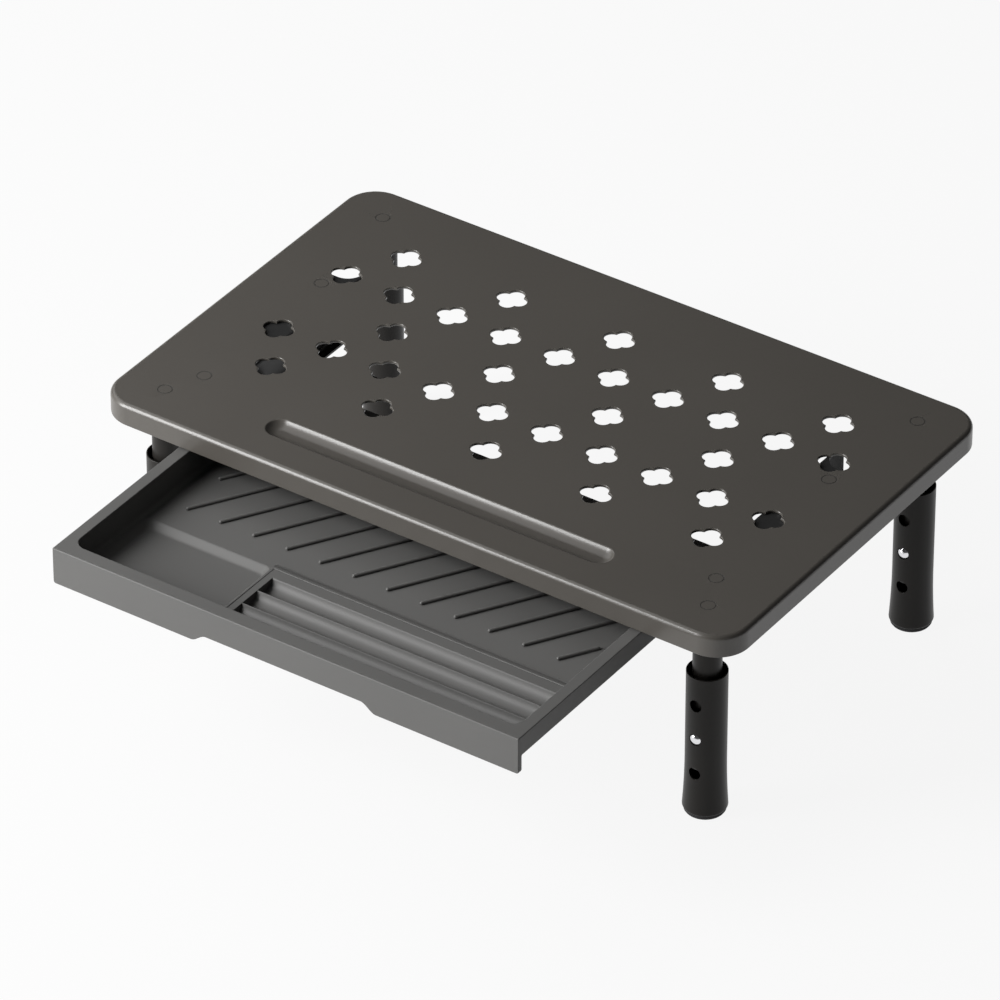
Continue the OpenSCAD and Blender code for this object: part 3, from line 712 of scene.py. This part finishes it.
def penBlock():
    # raised block of the ledge and the divider, drawn well past the tray's inside on its other sides
    d = drawer
    ledge, floor, deep = -d["ledgeDepth"], -d["floorDepth"] - hair, -30
    back, run, swell = d["ledgeBack"], d["ledgeRun"], d["ledgeSwell"]
    front, far, left, right = 2, 90, -70, halfWidth - 4
    outline = softOutline([(front, deep), (front, ledge), (back, ledge, swell), (back + run, floor, swell),
                           (far, floor), (far, deep)], 8)
    across = prism("penBlock", outline, left, right, "x")
    side = d["dividerX"] - d["dividerWidth"]
    foot = side + (deep - ledge) / d["flankSteepness"]
    flank = softOutline([(foot, deep), (side, ledge, d["flankRounding"]), (halfWidth, ledge), (halfWidth, deep)], 6)
    return combine(across, "INTERSECT", prism("flank", flank, -10, far, "y"))


def roundBar(name, r, length):
    # bar along +Y with round ends
    profile = [(r * math.sin(a), -r * math.cos(a)) for a in quarterTurn(6)]
    profile += [(r * math.cos(a), length + r * math.sin(a)) for a in quarterTurn(6)]
    return lathe(name, profile, segments=24, axis="y")


def rib(x, y, length):
    obj = roundBar("rib", drawer["ribRadius"], length)
    obj.data.transform(Matrix.Rotation(-math.radians(drawer["ribSlant"]), 4, "Z"))
    return moveMesh(obj, (x, y, drawer["ribRaise"] - drawer["floorDepth"]))


def beads():
    # thin raised lines along the ledge's back edge and the divider
    d = drawer
    r, top = d["beadRadius"], -d["ledgeDepth"]
    left, back = d["dividerX"] - d["dividerWidth"] + d["flankRounding"], d["ledgeBack"] - d["beadInset"]
    along = roundBar("ledgeBead", r, openX - d["beadEnd"] - left)
    along.data.transform(Matrix.Rotation(-math.pi / 2, 4, "Z"))
    across = roundBar("dividerBead", r, back - d["rimFront"] - d["beadEnd"])
    return [moveMesh(along, (left, back, top)), moveMesh(across, (left, d["rimFront"] + d["beadEnd"], top))]


def ribs():
    # slanted ribs on the floor, cut short where they near the side walls
    d = drawer
    run = math.tan(math.radians(d["ribSlant"]))
    side, front, back = openX - d["ribSide"], d["ribFront"], d["ribBack"]
    x = openX - d["ribLead"]
    made = []
    while x > openX - d["ribLead"] - 2 * side - run * (back - front):
        low = front + max(0, (-side - x) / run)
        high = min(back, front + (side - x) / run)
        made.append(rib(x + (low - front) * run, low, (high - low) / math.cos(math.radians(d["ribSlant"]))))
        x -= d["ribPitch"]
    return joinMeshes("ribs", made)


def buildDrawer():
    d = drawer
    wall = d["wall"]
    tray = drawerFrame()
    basinSkin = loft("basinSkin", list(basinLoops(wall))[2:])  # without the cutter's part above the floor
    combine(tray, "UNION", outerPan(), basinSkin, penSkin())
    space = innerPan()
    combine(space, "DIFFERENCE", penBlock())
    combine(space, "UNION", loft("basin", list(basinLoops(0))), penVoid())
    combine(tray, "DIFFERENCE", space)
    combine(tray, "UNION", ribs(), *beads())
    moveMesh(tray, (0, drawerLow.y, drawerHigh.z - d["bumpHeight"]))
    settle(tray, "drawer", [drawerPlastic], ["drawer_tray"], 32)


buildDrawer()
print("drawer made")


# Legs: a flared sleeve, the tube inside it, and the spring clip whose button locks them

lockHeight = 46.5  # of the hole that the button stands in


def crossHoles(heights, radius, edge, surface):
    # cutters that open to -Y and widen softly where they leave the surface
    over = 3
    made = []
    for h in heights:
        flank = [(radius + edge - edge * math.sin(a), -surface + edge - edge * math.cos(a)) for a in quarterTurn(4)]
        profile = [(0, -surface - over), (radius + edge, -surface - over)] + flank + [(radius, 0), (0, 0)]
        made.append(moveMesh(lathe("hole", profile, segments=40, axis="y"), (0, 0, h)))
    return made


sleeve = {
    "radius": 10.2, "wall": 0.8, "rimRounding": 0.25,
    "flare": 1.1, "flareHeight": 30, "flareSteps": 16, "curlRadius": 1.2,
    "holeRadius": 3.25, "holePitch": 20, "holeEdge": 0.3,
}


def sleeveSide(inset, height):
    # one side of the sleeve's wall as (radius, height), from the curled lower edge up
    d = sleeve

    def flareAt(h):
        return d["flare"] * max(0, 1 - h / d["flareHeight"]) ** 2

    c = d["curlRadius"]
    points = arc(d["radius"] + flareAt(c) - c, c, c - inset, -90, 0, 8)
    for i in range(1, d["flareSteps"] + 1):
        h = c + i * (d["flareHeight"] - c) / d["flareSteps"]
        points.append((d["radius"] + flareAt(h) - inset, h))
    return points + [(d["radius"] - inset, height)]


def buildSleeve(name, x, y):
    d = sleeve
    low, high = nodeBox("leg_sleeve_" + name)
    e, middle = d["rimRounding"], lockHeight - low.z
    outer, inner = [sleeveSide(inset, high.z - low.z) for inset in (0, d["wall"])]
    rim = arc(outer[-1][0] - e, outer[-1][1] - e, e, 0, 90, 3)
    rim += arc(inner[-1][0] + e, inner[-1][1] - e, e, 90, 180, 3)
    obj = lathe("legSleeve." + name, outer[:-1] + rim + inner[-2::-1])
    heights = [middle + i * d["holePitch"] for i in (-1, 0, 1)]
    combine(obj, "DIFFERENCE", *crossHoles(heights, d["holeRadius"], d["holeEdge"], d["radius"]))
    moveMesh(obj, (x, y, low.z))
    settle(obj, "lower_leg_" + name, [legPaint], ["leg_sleeve_" + name], 30)


tube = {"wall": 1, "edge": 0.25, "holeRadius": 3.2, "holeEdge": 0.15}


def buildTube(name, x, y):
    d = tube
    low, high = nodeBox("leg_tube_" + name)
    r, wall, e = (high.x - low.x) / 2, d["wall"], d["edge"]
    profile = arc(r - e, low.z + e, e, -90, 0, 3) + arc(r - e, high.z - e, e, 0, 90, 3)
    profile += arc(r - wall + e, high.z - e, e, 90, 180, 3) + arc(r - wall + e, low.z + e, e, 180, 270, 3)
    obj = lathe("legTube." + name, profile)
    combine(obj, "DIFFERENCE", *crossHoles([lockHeight], d["holeRadius"], d["holeEdge"], r))
    moveMesh(obj, (x, y, 0))
    settle(obj, "stand", [legPaint], ["leg_tube_" + name], 30)


clip = {
    "thickness": 0.7, "width": 7, "gap": 0.1, "bend": 2.2, "rise": 20, "tail": 6, "edge": 0.18,
    "buttonRadius": 3, "buttonOut": 0.6, "domeHeight": 1.3, "domeSteps": 10, "travel": 3.8,
}


def buildClip(name, x, y):
    # V-shaped strip, bent at its top, with the button on its front arm
    d = clip
    low, high = nodeBox("leg_tube_" + name)
    inside = (high.x - low.x) / 2 - tube["wall"] - d["gap"]
    reach = math.sqrt(inside ** 2 - (d["width"] / 2) ** 2)
    bendZ, tailZ, t, b = lockHeight + d["rise"], lockHeight - d["tail"], d["thickness"], d["bend"]
    turnY = 2 * b - reach
    slope = Vector((reach - turnY, tailZ - bendZ)).normalized()
    outline = [(-reach, tailZ)] + arc(b - reach, bendZ, b, 180, 0, 12) + [(reach, tailZ)]
    outline += [(reach - t, tailZ + slope.x * t)] + arc(b - reach, bendZ, b - t, 0, 180, 12) + [(t - reach, tailZ)]
    strip = prism("springStrip." + name, outline, -d["width"] / 2, d["width"] / 2, "x")
    softenEdges(strip, d["edge"], 2)
    tip = sleeve["radius"] + d["buttonOut"]
    q, h, steps = d["buttonRadius"], d["domeHeight"], d["domeSteps"]
    domeR = (q * q + h * h) / (2 * h)
    turns = [math.asin(q / domeR) * k / steps for k in range(steps)]
    profile = [(domeR * math.sin(a), -tip + domeR * (1 - math.cos(a))) for a in turns]
    profile += [(q, -tip + h), (q, -reach + t / 2), (0, -reach + t / 2)]
    button = lathe("lockButton." + name, profile, segments=64, axis="y")
    moveMesh(button, (0, 0, lockHeight))
    for obj in (strip, button):
        moveMesh(obj, (x, y, 0))
        settle(obj, "button_" + name, [springSteel], ["snap_clip_" + name], 40)
    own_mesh(strip)


for name in legNames:
    x, y = legAxis(name)
    buildSleeve(name, x, y)
    buildTube(name, x, y)
    buildClip(name, x, y)
print("legs made")


# Pieces whose CAD shape stays, with their finishes

finishes = {
    "weld_studs": zincSteel, "rail_nuts": zincSteel, "rail_left": railPaint, "rail_right": railPaint,
    "leg_insert_": blackPlastic, "tube_cap_": blackPlastic, "guide_ring_": blackPlastic, "foot_": footRubber,
}
for node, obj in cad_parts.items():
    for start, material in finishes.items():
        if node.startswith(start):
            obj.data.materials.clear()
            obj.data.materials.append(material)
print("finishes given")


# Camera, floor and light

photoCamera = {
    "place": (1.96059, -2.83764, 2.52600), "azimuth": 34.49, "elevation": 35.20,
    "lens": 312.55, "sensor": 36, "reach": 50,
}
studio = {
    "worldStrength": 0.07, "lightAim": (0, 0, 0.1),
    "floorColour": (0.6, 0.6, 0.6, 1), "floorRoughness": 0.9, "floorGlow": 0.9, "floorHalf": 6,
    "keyPlace": (-1.00, -1.10, 0.75), "keySize": (0.7, 1.4), "keyPower": 49,
    "skyPlace": (-1.05, 0.05, 1.15), "skySize": (1.5, 1.5), "skyPower": 9.5,
}


def setCamera():
    data = bpy.data.cameras.new("photoCamera")
    data.lens = photoCamera["lens"]
    data.sensor_width = photoCamera["sensor"]
    data.clip_end = photoCamera["reach"]
    obj = bpy.data.objects.new("photoCamera", data)
    obj.location = photoCamera["place"]
    obj.rotation_euler = (math.radians(90 - photoCamera["elevation"]), 0, math.radians(photoCamera["azimuth"]))
    bpy.context.scene.collection.objects.link(obj)
    bpy.context.scene.camera = obj


def areaLight(name, place, size, power):
    data = bpy.data.lights.new(name, "AREA")
    data.shape = "RECTANGLE"
    data.size, data.size_y = size
    data.energy = power
    obj = bpy.data.objects.new(name, data)
    obj.location = place
    obj.rotation_euler = (Vector(studio["lightAim"]) - Vector(place)).to_track_quat("-Z", "Y").to_euler()
    bpy.context.scene.collection.objects.link(obj)


def floorMaterial():
    # white to the camera and to reflections, and still darker where the stand shades it
    material = bpy.data.materials.new("floorPaper")
    material.use_nodes = True
    tree = material.node_tree
    shader = tree.nodes["Principled BSDF"]
    shader.inputs["Base Color"].default_value = studio["floorColour"]
    shader.inputs["Roughness"].default_value = studio["floorRoughness"]
    paths = addNode(tree, "ShaderNodeLightPath")
    seen = paths.outputs["Is Camera Ray"]
    for ray in ("Is Glossy Ray", "Is Transmission Ray"):
        either = addNode(tree, "ShaderNodeMath", operation="MAXIMUM")
        tree.links.new(seen, either.inputs[0])
        tree.links.new(paths.outputs[ray], either.inputs[1])
        seen = either.outputs[0]
    share = addNode(tree, "ShaderNodeMath", operation="MULTIPLY")
    share.inputs[1].default_value = studio["floorGlow"]
    tree.links.new(seen, share.inputs[0])
    glow = addNode(tree, "ShaderNodeEmission")
    mix = addNode(tree, "ShaderNodeMixShader")
    tree.links.new(share.outputs[0], mix.inputs[0])
    tree.links.new(shader.outputs[0], mix.inputs[1])
    tree.links.new(glow.outputs[0], mix.inputs[2])
    tree.links.new(mix.outputs[0], tree.nodes["Material Output"].inputs["Surface"])
    return material


def setStage():
    s = studio
    bm = bmesh.new()
    bmesh.ops.create_grid(bm, x_segments=1, y_segments=1, size=s["floorHalf"])
    floor = makeObject("floor", bm, [floorMaterial()])
    world = bpy.data.worlds.new("studio")
    world.use_nodes = True
    sky = world.node_tree.nodes["Background"]
    sky.inputs["Color"].default_value = (1, 1, 1, 1)
    sky.inputs["Strength"].default_value = s["worldStrength"]
    bpy.context.scene.world = world
    areaLight("keyLight", s["keyPlace"], s["keySize"], s["keyPower"])
    areaLight("skyLight", s["skyPlace"], s["skySize"], s["skyPower"])


setCamera()
setStage()
bpy.context.scene.view_settings.view_transform = "Standard"
print("stage set")
